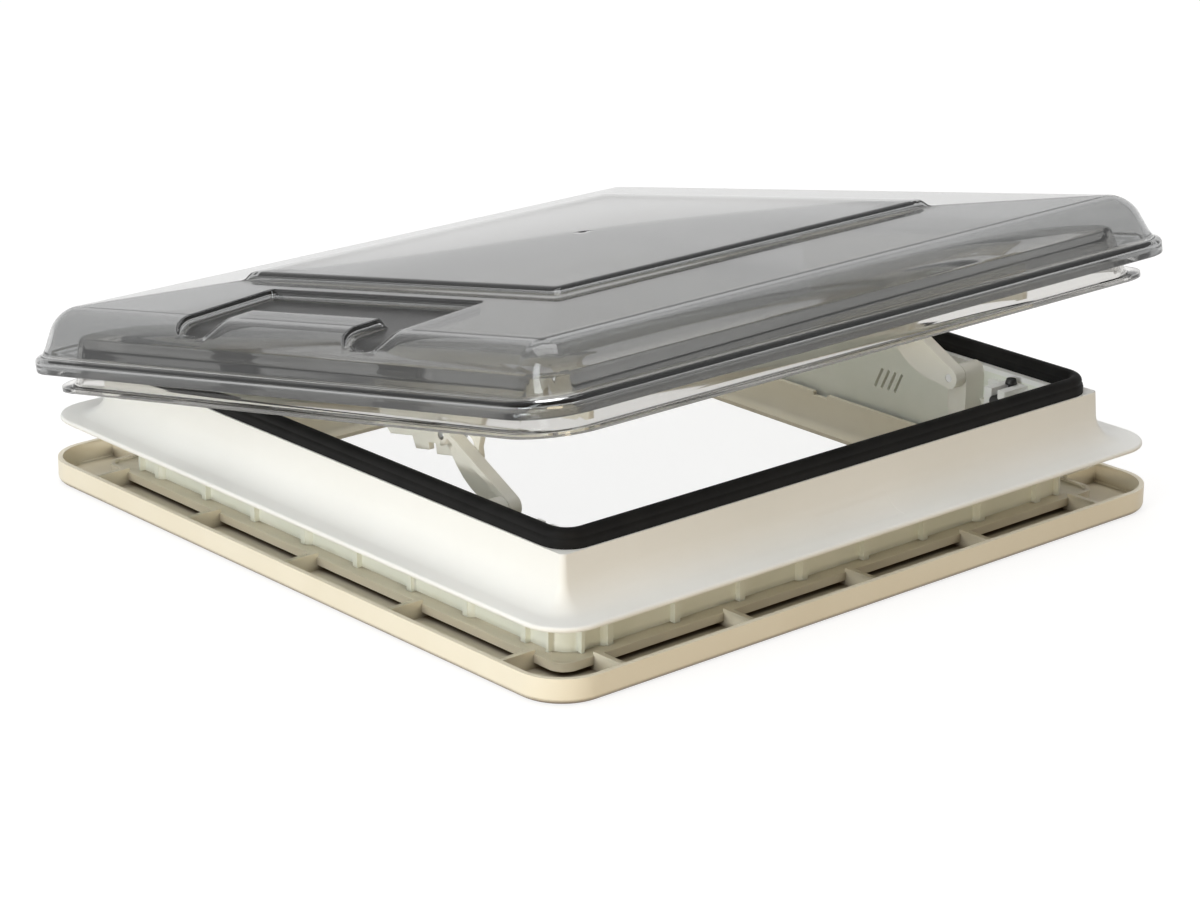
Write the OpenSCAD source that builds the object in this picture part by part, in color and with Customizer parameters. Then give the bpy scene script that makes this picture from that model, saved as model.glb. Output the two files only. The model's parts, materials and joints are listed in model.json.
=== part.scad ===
// Square pop-up roof vent for a caravan: flanged collar with a ribbed spigot, inner trim,
// double-shell smoked lid on a rear hinge, and two side arms that carry the lid.
// Millimetres. The underside of the roof flange is z = 0 and the hinge lies along +Y.

/* [Roof opening] */
// Side of the square cut-out in the roof
cutout_w = 400; // [380:5:440]
// Roof thickness between the flange and the trim lip
roof_t = 23.6; // [20:0.2:40]

/* [Outer frame] */
// Overlap of the flange beyond the cut-out
flange_lap = 32.6; // [31:0.2:40]
// Thickness of the flange
flange_t = 3; // [2.4:0.1:4]
// Corner radius of the flange
flange_r = 26; // [22:1:30]
// Height of the collar above the roof
collar_h = 31.5; // [29:0.5:50]
// Overhang of the collar beyond the cut-out, at its top edge
collar_lap = 5.6; // [5:0.2:7]
// Outward lean of the collar face, top to flare
collar_draft = 0.9; // [0.3:0.1:1.5]
// Wall of the collar moulding
skin_t = 3; // [2.4:0.1:3.4]
// Radius of the flare between collar and flange
flare_r = 16; // [12:0.5:17]
// Length of the shallow recess in the front flare
flare_recess_w = 56; // [30:1:90]
// Depth of that recess
flare_recess_d = 0.2; // [0.1:0.1:1.2]

/* [Ribbed spigot] */
// Clearance between the ribs and the cut-out
spigot_gap = 1.5; // [1:0.1:2.5]
// Height of the ribs above the spigot wall
rib_depth = 3.5; // [2.5:0.1:4]
// Width of a rib
rib_w = 4; // [3:0.5:6]
// Spacing of the ribs along a side
rib_pitch = 47.5; // [42:0.5:48]
// Thickness of the spigot wall
spigot_wall = 3; // [2.6:0.1:3.6]
// Outer corner radius of the spigot wall
spigot_r = 14; // [10:1:18]
// Radius of a screw boss
boss_r = 5; // [4.5:0.1:6]
// Width of a louvre slit in the far wall
slit_w = 2; // [1.5:0.1:3]

/* [Collar seal] */
// Height of the seal above the collar
seal_h = 10.3; // [9.5:0.1:12]
// Width of the seal foot
seal_w = 8.4; // [8:0.1:9]
// Inset of the seal from the collar face
seal_inset = 1; // [0.6:0.1:1.4]
// Corner radius of the seal
seal_r = 17; // [14:1:20]

/* [Inner trim] */
// Overlap of the trim beyond the cut-out
trim_lap = 35; // [33:0.5:45]
// Corner radius of the trim
trim_r = 28; // [26:1:32]
// Height of the trim lip
lip_h = 14.6; // [13:0.2:20]
// Thickness of the trim lip
lip_t = 3; // [2.4:0.1:3.4]
// Thickness of the trim shelf and collar
shelf_t = 3; // [2.4:0.1:3.2]
// Thickness of the trim floor
floor_t = 2.4; // [2:0.1:2.8]
// Drop of the screw shelf below the lip
shelf_drop = 6.2; // [4:0.1:6.4]
// Overlap of the shelf beyond the cut-out
shelf_lap = 7.6; // [6:0.2:12]
// Height of the ridge along the edge of the shelf
ridge_h = 1.8; // [1:0.1:2.4]
// Thickness of the ridge
ridge_t = 2.6; // [2:0.1:3.2]
// Corner radius of the shelf
shelf_r = 10; // [6:1:12]
// Height of the trim collar above the shelf
trim_collar_h = 12.6; // [10:0.2:16]
// Clearance between trim collar and spigot
trim_gap = 3; // [2:0.5:4]
// Reach of the bottom ledge into the opening
ledge_in = 13.5; // [10:0.5:18]
// Thickness of a channel web
web_t = 3.2; // [2.4:0.2:4]
// Spacing of the channel webs
web_pitch = 92; // [80:1:94]
// Drop of the webs below the lip
web_drop = 2.2; // [1:0.1:3]
// Corner radius inside the ledge
ledge_r = 5; // [3:0.5:8]
// Room round a screw head in its access hole
access_gap = 1.3; // [0.8:0.1:2]

/* [Lid] */
// Overlap of the dome rim beyond the cut-out
rim_lap = 42.5; // [41.5:0.5:46]
// Height of the dome rim
rim_h = 9.4; // [8.8:0.2:11]
// Width of the ledge above the rim
rim_ledge_w = 5.4; // [4.5:0.1:6.5]
// Wall of the dome
dome_t = 2.8; // [2.4:0.1:3.2]
// Height of the dome shoulder above the rim edge
shoulder_h = 35.8; // [34:0.2:42]
// Radius of the dome shoulder
shoulder_r = 21; // [18:0.5:22]
// Lean of the dome sides
side_lean = 24; // [20:1:26]
// Rise of the sloping top from the shoulder to the panel
top_rise = 4.7; // [3:0.1:8]
// Half width of the raised panel
panel_half = 138; // [120:1:150]
// Rise of the raised panel
panel_rise = 4.5; // [3:0.1:6]
// Depth of the hand recess in one shoulder
recess_d = 6; // [2:0.1:7]
// Length of the recess along the side
recess_l = 195; // [170:1:210]
// Width of the tongue inside the recess
tongue_w = 115; // [90:1:130]
// Width of the recess behind the tongue
recess_back_w = 42; // [30:1:46]
// Gap from the recess to the raised panel
recess_gap = 15; // [8:0.5:20]
// Offset of the recess toward the front
recess_shift = 4; // [0:0.5:10]
// Depth of the lower pan
pan_depth = 29.3; // [27:0.1:34]
// Wall of the lower pan
pan_t = 2.8; // [2.4:0.1:3]
// Width of the pan lip
pan_lip_w = 8.5; // [7:0.1:9]
// Gap from the pan lip in to the rim of the dome
pan_inset = 9; // [8.5:0.1:11]
// Drop of the pan lip below the dome rim
pan_drop = 12; // [11:0.1:14]
// Inward lean of the pan wall over its height
pan_lean = 6.5; // [5:0.1:8]
// Corner radius at the top of the pan wall
pan_corner_r = 18; // [14:1:20]
// Closed gap between the pan and the seal
seal_gap = 0.5; // [0.4:0.1:1]

/* [Hinge] */
// Distance of a hinge in from the side of the cut-out
hinge_set = 70; // [50:1:90]
// Width of a hinge
hinge_w = 40; // [36:1:50]
// Knuckle radius
knuckle_r = 4.5; // [4.2:0.1:4.8]
// Hinge pin radius
hinge_pin_r = 2; // [1.8:0.1:2.4]
// Lid opening in the position shown, degrees
open_angle = 10.8; // [6:0.1:13]
// Largest lid opening, degrees
full_angle = 14; // [13.5:0.1:15]

/* [Arms] */
// Distance of the arm pivots behind the front spigot wall
pivot_set = 69; // [60:1:80]
// Height of the arm pivots below the collar top
pivot_drop = 4.5; // [3:0.5:7]
// Arm length between pivot and stud
arm_len = 58; // [54:1:62]
// Thickness of an arm
arm_t = 8; // [6:0.5:9]
// Radius of the pivot boss
arm_boss_r = 6.6; // [6:0.1:9]
// Bulge of the lower edge of an arm
arm_belly = 8.5; // [4:0.5:10]
// Arm angle above level in the position shown, degrees
arm_rest = 28; // [24:1:32]
// Turn of an arm for each degree of the lid
arm_ratio = 5.45; // [5.2:0.05:5.6]
// Pivot pin radius
pivot_pin_r = 2.5; // [2:0.1:3]
// Slide stud radius
stud_r = 3; // [2.6:0.1:3.4]
// Thickness of a lid guide
guide_t = 4; // [3.5:0.5:6]
// Play of the stud in the guide slot
slot_play = 1.7; // [1.6:0.1:2.2]

/* [Lock bolts] */
// Distance of the lock bolts behind the front spigot wall
bolt_set = 36; // [30:1:40]
// Height of the lock bolts below the collar top
bolt_drop = 12; // [10:0.5:13]
// Lock bolt radius
bolt_r = 4; // [3.4:0.1:4.2]
// Travel of a lock bolt
bolt_travel = 8; // [7:0.5:9]

/* [Fits] */
// Radial running clearance
run_fit = 0.05; // [0.03:0.01:0.08]
// Radial clearance of a fixed pin or screw in its hole
fixed_fit = 0.04; // [0.02:0.01:0.06]
// Gap between moving faces
side_gap = 0.5; // [0.4:0.1:0.8]
// Screw shank radius
screw_r = 1.5; // [1.2:0.1:1.6]
// Screw head radius
screw_head_r = 2.9; // [2.4:0.1:3]
// Screw head height
screw_head_h = 1.9; // [1.4:0.1:2.2]

/* [Hidden] */
$fn = 64;

white = [0.93, 0.93, 0.91];
ribbed_white = [0.86, 0.87, 0.81];
cream = [0.88, 0.84, 0.73];
rubber = [0.06, 0.06, 0.06];
smoke = [0.42, 0.42, 0.42, 0.6];
pale_smoke = [0.55, 0.54, 0.51, 0.6];
ivory = [0.86, 0.85, 0.79];
zinc = [0.72, 0.72, 0.7];

// Half widths of the rings, measured out from the centre
cutout_u = cutout_w/2;
flange_u = cutout_u + flange_lap;
collar_u = cutout_u + collar_lap;
rib_u = cutout_u - spigot_gap;
spigot_u = rib_u - rib_depth;
spigot_in = spigot_u - spigot_wall;
trim_u = cutout_u + trim_lap;
shelf_u = cutout_u + shelf_lap;
trim_collar_u = spigot_in - trim_gap;
trim_in = trim_collar_u - shelf_t;
ledge_u = trim_in - ledge_in;
rim_u = cutout_u + rim_lap;

// Heights
edge_r = flange_t/2;
web_z = collar_h - skin_t;
lip_z = -roof_t;
shelf_z = lip_z - shelf_drop;
trim_z = lip_z - lip_h;
seal_z = collar_h + seal_h;
pan_under_z = seal_z + seal_gap;
pan_top_z = pan_under_z + pan_t;
pan_z = pan_top_z - pan_depth;
rim_z = pan_z + pan_drop;

// Flare
frame_c = collar_u - skin_t;
flare_u = collar_u + collar_draft + flare_r;
flare_z = flange_t + flare_r;
flange_c = flange_u - flange_r;

// Ribs and screws along one side, counted from its middle
rib_places = [for (i = [-3.5:3.5]) i*rib_pitch];
boss_places = [rib_places[0], rib_places[3], rib_places[6]];
screw_u = spigot_in + spigot_wall/2 + boss_r/2 - 0.5;
screw_depth = 12;
bore_depth = screw_depth + 2;
rib_h = 6 - shelf_z;
slit_h = 14;
slit_y = -44;
slit_pitch = 5.5;

// Dome outline
dome_c = rim_u - rim_ledge_w - shoulder_r - 4;
arc_steps = 8;
rim_round = 3.2;
panel_edge = 4;
recess_u = panel_half + panel_edge + recess_gap;
recess_low = side_lean + 7;

// Pan outline
pan_u = rim_u - pan_inset;
pan_wall_u = pan_u - pan_lip_w;
pan_edge_r = 2;
pan_c = pan_wall_u - pan_lean - pan_corner_r;
pan_lip_t = 2.4;
pan_foot = 2;

// Spacer between the dome rim and the pan wall
spacer_t = 2.6;
spacer_z = rim_z + rim_h - rim_round - dome_t - 0.2 - spacer_t;

// Hinge axis, leaves and brackets
hinge_off = 7;
hinge_drop = 1.1;
hinge_x = cutout_u - hinge_set;
hinge_y = pan_wall_u + hinge_off;
hinge_z = spacer_z - knuckle_r - hinge_drop;
leaf_screw_z = spacer_z - screw_head_r - hinge_drop;
leaf_t = 2.2;
leaf_root = 1;
leaf_neck = 6;
leaf_gap = 1;
bond_t = 0.03;
notch_gap = 1.5;
pin_end = 0.5;
cheek_root = 5;
leaf_side = 14;
knuckle_w = hinge_w/2;
cheek_w = (hinge_w - knuckle_w)/2 - side_gap;
foot_t = 3.5;
foot_y = flare_u + 0.2;
foot_d = flange_u - edge_r - foot_y - 0.2;

// Arm layers, measured out from the middle
pivot_y = -(spigot_in - pivot_set);
pivot_z = collar_h - pivot_drop;
bracket_d = 15.5;
arm_out = spigot_in - bracket_d - side_gap;
arm_in = arm_out - arm_t;
guide_out = arm_in - side_gap;
guide_in = guide_out - guide_t;
ear_t = 3.5;
ear_w = 12;

// Lock bolts
bolt_y = -(spigot_in - bolt_set);
bolt_z = collar_h - bolt_drop;
housing_d = 20;
housing_in = spigot_in - housing_d;
housing_w = 16;
bolt_tail = spigot_in - 0.6;
knob_r = 3.6;
knob_stem_r = 1.8;
knob_set = 5;
knob_u = bolt_tail - knob_set;

// Angle of an arm, and place of its stud, when the lid is open by t degrees
function arm_angle(t) = arm_rest + arm_ratio*(t - open_angle);
function stud_place(t) = [pivot_y, pivot_z] + arm_len*[cos(arm_angle(t)), sin(arm_angle(t))];
// The same place seen from the closed lid
function turned(p, a) = [p[0]*cos(a) - p[1]*sin(a), p[0]*sin(a) + p[1]*cos(a)];
function on_lid(p, t) = [hinge_y, hinge_z] + turned(p - [hinge_y, hinge_z], t);
function slot_place(t) = on_lid(stud_place(t), t);
// The slot runs from where the stud turns back to where the lid is fully open
slot_turn = open_angle - arm_rest/arm_ratio;
slot_half = stud_r + slot_play;
slot_steps = 6;
slot_end = slot_place(full_angle);
slot_start = slot_place(slot_turn);
slot_low = min(slot_end[1], slot_place(0)[1]) - slot_half;

function arc(centre, r, from, to) =
    [for (i = [0:arc_steps]) let (a = from + (to - from)*i/arc_steps) centre + r*[cos(a), sin(a)]];
function reversed(list) = [for (i = [len(list) - 1:-1:0]) list[i]];

// Dome side, as distance beyond dome_c against height above the rim edge, moved in by t
function dome_side(t) = let (
        r = shoulder_r - t,
        centre = [0, shoulder_h - shoulder_r],
        knee = centre + r*[cos(side_lean), sin(side_lean)],
        foot_h = rim_h + 2 - t*tan(45 - side_lean/2),
        foot = [knee[0] + (knee[1] - foot_h)*tan(side_lean), foot_h],
        rim = rim_u - dome_c - t)
    concat(arc(centre, r, 90, side_lean),
        [foot, [foot[0] + 1.6, foot_h - 1.4], [rim - rim_round, rim_h - t],
            [rim, rim_h - rim_round - t], [rim, 0]]);

// Dome top, right half, as distance from the middle against height above the rim edge
function dome_top(t) = [[dome_c, shoulder_h - t], [panel_half + panel_edge, shoulder_h + top_rise - t],
    [panel_half, shoulder_h + top_rise + panel_rise - t]];

// Outer face of the pan wall at a height
function pan_face(z) = pan_wall_u
    - pan_lean*(z - pan_z - pan_lip_t - pan_foot)/(pan_depth - pan_lip_t - pan_foot - pan_edge_r);

// Square with round corners, by its half width
module round_square(half, r) {
    square([2*half, 2*(half - r)], center = true);
    square([2*(half - r), 2*half], center = true);
    for (sx = [-1, 1], sy = [-1, 1])
        translate([sx*(half - r), sy*(half - r)]) circle(r);
}

// Flat square ring between two round squares
module flat_ring(out_half, out_r, in_half, in_r, h) {
    linear_extrude(h) difference() {
        round_square(out_half, out_r);
        round_square(in_half, in_r);
    }
}

// Square ring swept from its section, the children: distance beyond the corner centres against height
module ring_sweep(c) {
    for (turn = [0:90:270]) rotate(turn) {
        translate([c, c, 0]) rotate([90, 0, 0]) linear_extrude(2*c) children();
        translate([c, c, 0]) rotate_extrude(angle = 90) children();
    }
}

// Square block with mitred corners, whose half section is the list of points
module mitred_block(half_section, base) {
    span = 2*half_section[0][0];
    section = concat([[half_section[0][0], base]], half_section,
        [for (p = reversed(half_section)) [-p[0], p[1]]], [[-half_section[0][0], base]]);
    intersection() {
        rotate([90, 0, 0]) linear_extrude(span, center = true) polygon(section);
        rotate([90, 0, 90]) linear_extrude(span, center = true) polygon(section);
    }
}

// Children repeated on the four sides, drawn on the +X side
module on_four_sides() {
    for (turn = [0:90:270]) rotate(turn) children();
}

// Cylinder along +X
module rod(r, h) {
    rotate([0, 90, 0]) cylinder(r = r, h = h);
}

// Children drawn on the closed lid, opened as shown
module opened() {
    translate([0, hinge_y, hinge_z]) rotate([-open_angle, 0, 0])
        translate([0, -hinge_y, -hinge_z]) children();
}

// Children drawn with the arm level along +Y from the origin, spaced from the middle along +X
module arm_place() {
    translate([0, pivot_y, pivot_z]) rotate([arm_rest, 0, 0]) children();
}

// Children drawn in the plane of a side wall, +Y across and +Z up, raised toward +X
module side_plate(from, t) {
    translate([from, 0, 0]) rotate([90, 0, 90]) linear_extrude(t) children();
}

// Round-headed screw with its tip up at +Z and the seat of its head at z = 0
module screw(length) {
    cylinder(r = screw_r, h = length);
    translate([0, 0, -screw_head_h]) cylinder(r1 = screw_head_r*0.75, r2 = screw_head_r, h = screw_head_h);
}

// Flange, flared collar and top web in one white moulding
module outer_frame() {
    color(white) difference() {
        union() {
            ring_sweep(frame_c) {
                polygon([[0, web_z], [collar_draft, flare_z], [skin_t + collar_draft, flare_z],
                    [skin_t, collar_h], [0, collar_h]]);
                intersection() {
                    translate([flare_u - frame_c, flare_z]) difference() {
                        circle(flare_r + skin_t);
                        circle(flare_r);
                    }
                    square([flare_u - frame_c, flare_z]);
                }
            }
            ring_sweep(flange_c) {
                translate([flare_u - flange_c - flange_t, 0])
                    square([flange_u - flare_u + flange_t - edge_r, flange_t]);
                translate([flange_r - edge_r, edge_r]) circle(edge_r);
            }
            translate([0, 0, web_z]) flat_ring(collar_u, skin_t, spigot_in, spigot_r - spigot_wall, skin_t);
        }
        translate([-flare_recess_w/2, -flare_u, flare_z]) intersection() {
            rod(flare_r + flare_recess_d, flare_recess_w);
            translate([0, 0, -flare_z]) cube([flare_recess_w, flare_r + skin_t, flare_r - 4]);
        }
        for (side = [-1, 1], place = [-1, 1])
            translate([side*hinge_x + place*knuckle_w/3, foot_y + foot_d/2, -1])
                cylinder(r = screw_r + fixed_fit, h = flange_t + 2);
    }
}

// Ribbed wall that passes through the roof, with twelve screw bosses
module roof_spigot() {
    color(ribbed_white) difference() {
        union() {
            translate([0, 0, shelf_z])
                flat_ring(spigot_u, spigot_r, spigot_in, spigot_r - spigot_wall, web_z - shelf_z);
            on_four_sides() {
                for (y = rib_places)
                    translate([spigot_u - 1, y - rib_w/2, shelf_z]) cube([rib_depth + 1, rib_w, rib_h]);
                for (y = boss_places) translate([spigot_in, y, shelf_z]) intersection() {
                    translate([rib_u - spigot_in - boss_r, 0, 0]) cylinder(r = boss_r, h = rib_h);
                    translate([0, -boss_r, 0]) cube([2*boss_r, 2*boss_r, rib_h]);
                }
                for (end = [-1, 1]) translate([spigot_u - 2, end*(spigot_u - spigot_r + 3), shelf_z])
                    rotate(end*8) translate([0, -rib_w/4, 0]) cube([rib_depth + 1.5, rib_w/2, rib_h]);
            }
        }
        on_four_sides() for (y = boss_places)
            translate([screw_u, y, shelf_z - 1]) cylinder(r = screw_r + fixed_fit, h = bore_depth + 1);
        for (i = [0:3]) translate([spigot_in - 1, slit_y - i*slit_pitch, flange_t]) rotate([25, 0, 0])
            translate([0, -slit_w/2, -slit_h/2]) cube([spigot_wall + 2, slit_w, slit_h]);
        for (side = [-1, 1]) {
            for (place = [-1, 1]) {
                translate([side*spigot_in, pivot_y + place*(arm_boss_r + ear_w/2), ear_w/2])
                    rotate([0, side*90, 0]) translate([0, 0, -1])
                        cylinder(r = screw_r + fixed_fit, h = spigot_wall + 2);
                translate([side*spigot_in, bolt_y + place*(housing_w/2 + ear_w/2), bolt_z])
                    rotate([0, side*90, 0]) translate([0, 0, -1])
                        cylinder(r = screw_r + fixed_fit, h = spigot_wall + 2);
            }
        }
    }
}

// Two-lobed rubber seal along the top of the collar
module collar_seal() {
    lobe = seal_h*0.32;
    top_lobe = seal_h*0.36;
    foot = seal_r - seal_w;
    color(rubber) translate([0, 0, collar_h]) ring_sweep(collar_u - seal_inset - seal_r) {
        translate([foot, 0]) square([seal_w, lobe]);
        translate([foot + lobe, lobe]) circle(lobe);
        translate([seal_r - lobe, lobe]) circle(lobe);
        translate([foot + lobe, 0]) square([seal_w - 2*lobe, 2*lobe]);
        translate([foot + seal_w*0.45, seal_h - top_lobe]) circle(top_lobe);
    }
}

// Ceiling trim: lip, floor with ledge, collar, and a ridged screw shelf carried over the floor on webs
module trim_ring() {
    trim_c = trim_u - trim_r;
    foot_r = lip_t + 1;
    shelf_under = shelf_z - shelf_t;
    clip_w = 12;
    clip_d = 2.4;
    color(cream) difference() {
        union() {
            ring_sweep(trim_c) {
                translate([trim_r - lip_t, trim_z + foot_r]) square([lip_t, lip_h - foot_r]);
                translate([0, trim_z]) square([trim_r - foot_r, floor_t]);
                intersection() {
                    translate([trim_r - foot_r, trim_z + foot_r]) circle(foot_r);
                    translate([trim_r - foot_r, trim_z]) square(foot_r);
                }
            }
            translate([0, 0, trim_z]) flat_ring(trim_c + foot_r, foot_r, ledge_u, ledge_r, floor_t);
            translate([0, 0, shelf_under]) {
                flat_ring(shelf_u - 1, shelf_r - 1, trim_collar_u - 1, spigot_r - spigot_wall, shelf_t);
                flat_ring(shelf_u, shelf_r, shelf_u - ridge_t, shelf_r - ridge_t, shelf_t + ridge_h);
            }
            translate([0, 0, trim_z])
                flat_ring(trim_collar_u, spigot_r - trim_gap, trim_in, spigot_r - trim_gap - shelf_t,
                    shelf_z + trim_collar_h - trim_z);
            on_four_sides() for (i = [-2:2]) translate([0, i*web_pitch - web_t/2, trim_z + 1]) {
                translate([trim_collar_u - 1, 0, 0])
                    cube([shelf_u - trim_collar_u + 1, web_t, shelf_under - trim_z - 0.5]);
                translate([shelf_u - 1, 0, 0])
                    cube([trim_u - lip_t - shelf_u + 2, web_t, lip_h - 1 - web_drop]);
            }
        }
        on_four_sides() for (y = boss_places) translate([screw_u, y, 0]) {
            translate([0, 0, shelf_under - 1]) cylinder(r = screw_r + fixed_fit, h = shelf_t + 2);
            translate([0, 0, trim_z - 1]) cylinder(r = screw_head_r + access_gap, h = floor_t + 2);
        }
        translate([trim_in - 1, -clip_w/2, shelf_z + trim_collar_h - clip_d])
            cube([shelf_t + 2, clip_w, clip_d + 1]);
    }
}

// Screws that draw the trim up to the spigot
module trim_screws() {
    color(zinc) on_four_sides() for (y = boss_places)
        translate([screw_u, y, shelf_z - shelf_t]) screw(shelf_t + screw_depth);
}

// Bracket on the side wall that carries an arm
module arm_bracket() {
    foot_z = -ear_w/2;
    color(ivory) difference() {
        union() {
            side_plate(spigot_in - bracket_d, bracket_d) {
                translate([pivot_y, pivot_z]) circle(arm_boss_r);
                translate([pivot_y - arm_boss_r, foot_z]) square([2*arm_boss_r, pivot_z - foot_z]);
            }
            side_plate(spigot_in - ear_t, ear_t)
                translate([pivot_y - arm_boss_r - ear_w, foot_z + ear_w/2])
                    square([2*(arm_boss_r + ear_w), ear_w]);
        }
        translate([spigot_in - bracket_d - 1, pivot_y, pivot_z]) rod(pivot_pin_r + fixed_fit, bracket_d + 2);
        for (place = [-1, 1])
            translate([spigot_in - ear_t - 1, pivot_y + place*(arm_boss_r + ear_w/2), ear_w/2])
                rod(screw_r + fixed_fit, ear_t + 2);
    }
}

module near_arm_bracket() { mirror([1, 0, 0]) arm_bracket(); }
module far_arm_bracket() { arm_bracket(); }

// Screws of both arm brackets
module bracket_screws() {
    color(zinc) for (side = [0, 1], place = [-1, 1]) mirror([side, 0, 0])
        translate([spigot_in - ear_t, pivot_y + place*(arm_boss_r + ear_w/2), ear_w/2])
            rotate([0, 90, 0]) screw(ear_t + spigot_wall - 0.3);
}

// Fixed pin on which an arm turns
module pivot_pin() {
    color(zinc) translate([arm_in + 0.2, pivot_y, pivot_z]) rod(pivot_pin_r, spigot_in - arm_in - 0.4);
}

module near_pivot_pin() { mirror([1, 0, 0]) pivot_pin(); }
module far_pivot_pin() { pivot_pin(); }

// Guide block for a lock bolt, slotted on top for its knob
module lock_housing() {
    color(white) difference() {
        union() {
            translate([housing_in, bolt_y - housing_w/2, bolt_z - housing_w/2])
                cube([housing_d, housing_w, housing_w]);
            translate([spigot_in - ear_t, bolt_y - housing_w/2 - ear_w, bolt_z - ear_w/2])
                cube([ear_t, housing_w + 2*ear_w, ear_w]);
        }
        translate([housing_in - 1, bolt_y, bolt_z]) rod(bolt_r + run_fit, housing_d + 2);
        translate([housing_in - 1, bolt_y - knob_stem_r - side_gap, bolt_z])
            cube([knob_u - housing_in + 1 + knob_stem_r + side_gap, 2*(knob_stem_r + side_gap), housing_w]);
        for (place = [-1, 1])
            translate([spigot_in - ear_t - 1, bolt_y + place*(housing_w/2 + ear_w/2), bolt_z])
                rod(screw_r + fixed_fit, ear_t + 2);
    }
}

module near_lock_housing() { mirror([1, 0, 0]) lock_housing(); }
module far_lock_housing() { lock_housing(); }

// Screws of both lock housings
module lock_screws() {
    color(zinc) for (side = [0, 1], place = [-1, 1]) mirror([side, 0, 0])
        translate([spigot_in - ear_t, bolt_y + place*(housing_w/2 + ear_w/2), bolt_z])
            rotate([0, 90, 0]) screw(ear_t + spigot_wall - 0.3);
}

// Sliding bolt with its knob, drawn back as shown
module lock_bolt() {
    color(rubber) {
        translate([housing_in + 0.3, bolt_y, bolt_z]) rod(bolt_r, bolt_tail - housing_in - 0.3);
        translate([knob_u, bolt_y, bolt_z]) cylinder(r = knob_stem_r, h = housing_w/2 + side_gap + 0.5);
        translate([knob_u, bolt_y, bolt_z + housing_w/2 + side_gap])
            cylinder(r1 = knob_r, r2 = knob_r*0.8, h = 3);
    }
}

module near_lock_bolt() { mirror([1, 0, 0]) lock_bolt(); }
module far_lock_bolt() { lock_bolt(); }

// Frame half of a hinge: foot on the flange and two cheeks round the pin
module hinge_bracket() {
    cheek_z = flange_t;
    color(white) difference() {
        union() {
            translate([-hinge_w/2, foot_y, flange_t]) cube([hinge_w, foot_d, foot_t]);
            for (side = [-1, 1]) translate([side*(hinge_w - cheek_w)/2 - cheek_w/2, 0, 0])
                side_plate(0, cheek_w) {
                    translate([hinge_y, hinge_z]) circle(knuckle_r);
                    polygon([[foot_y + foot_d - cheek_root, cheek_z], [foot_y + foot_d, cheek_z],
                        [hinge_y + knuckle_r*0.8, hinge_z - knuckle_r*0.6],
                        [hinge_y + knuckle_r*0.6, hinge_z], [hinge_y - knuckle_r*0.6, hinge_z],
                        [hinge_y - knuckle_r*0.8, hinge_z - knuckle_r*0.6]]);
                }
        }
        translate([-hinge_w, hinge_y, hinge_z]) rod(hinge_pin_r + fixed_fit, 2*hinge_w);
        for (place = [-1, 1]) translate([place*knuckle_w/3, foot_y + foot_d/2, 0])
            cylinder(r = screw_r + fixed_fit, h = flange_t + foot_t + 1);
    }
}

module left_hinge_bracket() { translate([-hinge_x, 0, 0]) hinge_bracket(); }
module right_hinge_bracket() { translate([hinge_x, 0, 0]) hinge_bracket(); }

// Screws of both hinge brackets
module hinge_bracket_screws() {
    color(zinc) for (side = [-1, 1], place = [-1, 1])
        translate([side*hinge_x + place*knuckle_w/3, foot_y + foot_d/2, flange_t + foot_t])
            mirror([0, 0, 1]) screw(flange_t + foot_t - 0.3);
}

// Hinge pin, fixed in the cheeks
module hinge_pin() {
    color(zinc) translate([-hinge_w/2 - pin_end, hinge_y, hinge_z])
        rod(hinge_pin_r, hinge_w + 2*pin_end);
}

module left_hinge_pin() { translate([-hinge_x, 0, 0]) hinge_pin(); }
module right_hinge_pin() { translate([hinge_x, 0, 0]) hinge_pin(); }

// Height of the sloping top above the rim edge
function slope_h(u) = shoulder_h + top_rise*(dome_c - u)/(dome_c - panel_half - panel_edge);

// Section of a band under the dome skin, between two depths: over the shoulder, or behind the tongue only
function shoulder_line(t, u, low) = concat([[u - dome_c, slope_h(u) - t]],
    arc([0, shoulder_h - shoulder_r], shoulder_r - t, 90, low));
function shoulder_band(t0, t1, u, low) =
    concat(shoulder_line(t0, u, low), reversed(shoulder_line(t1, u, low)));
function slope_band(t0, t1, u0, u1) = [[u0 - dome_c, slope_h(u0) - t0], [u1 - dome_c, slope_h(u1) - t0],
    [u1 - dome_c, slope_h(u1) - t1], [u0 - dome_c, slope_h(u0) - t1]];

// Section, the children, run along the shoulder on the -X side
module shoulder_run(y0, y1) {
    mirror([1, 0, 0]) translate([dome_c, y1, 0]) rotate([90, 0, 0]) linear_extrude(y1 - y0) children();
}

// The U-shaped recess between two depths, grown all round by g
module recess_form(t0, t1, g, low) {
    half = recess_l/2 + g;
    tongue = tongue_w/2 - g;
    translate([0, -recess_shift, 0]) {
        shoulder_run(tongue, half) polygon(shoulder_band(t0, t1, recess_u - g, low));
        shoulder_run(-half, -tongue) polygon(shoulder_band(t0, t1, recess_u - g, low));
        shoulder_run(-half, half) polygon(slope_band(t0, t1, recess_u - g, recess_u + recess_back_w + g));
    }
}

// Smoked outer shell with stepped rim, raised panel and a hand recess round a tongue on one shoulder
module outer_dome() {
    section = concat(dome_side(0), reversed(dome_side(dome_t)));
    color(smoke) opened() translate([0, 0, rim_z]) difference() {
        union() {
            ring_sweep(dome_c) polygon(section);
            difference() {
                mitred_block(dome_top(0), shoulder_h - dome_t);
                mitred_block(dome_top(dome_t), shoulder_h - 2*dome_t);
            }
            recess_form(dome_t/2, recess_d + dome_t, dome_t, side_lean);
        }
        recess_form(-1, recess_d, 0, recess_low);
    }
}

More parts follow.
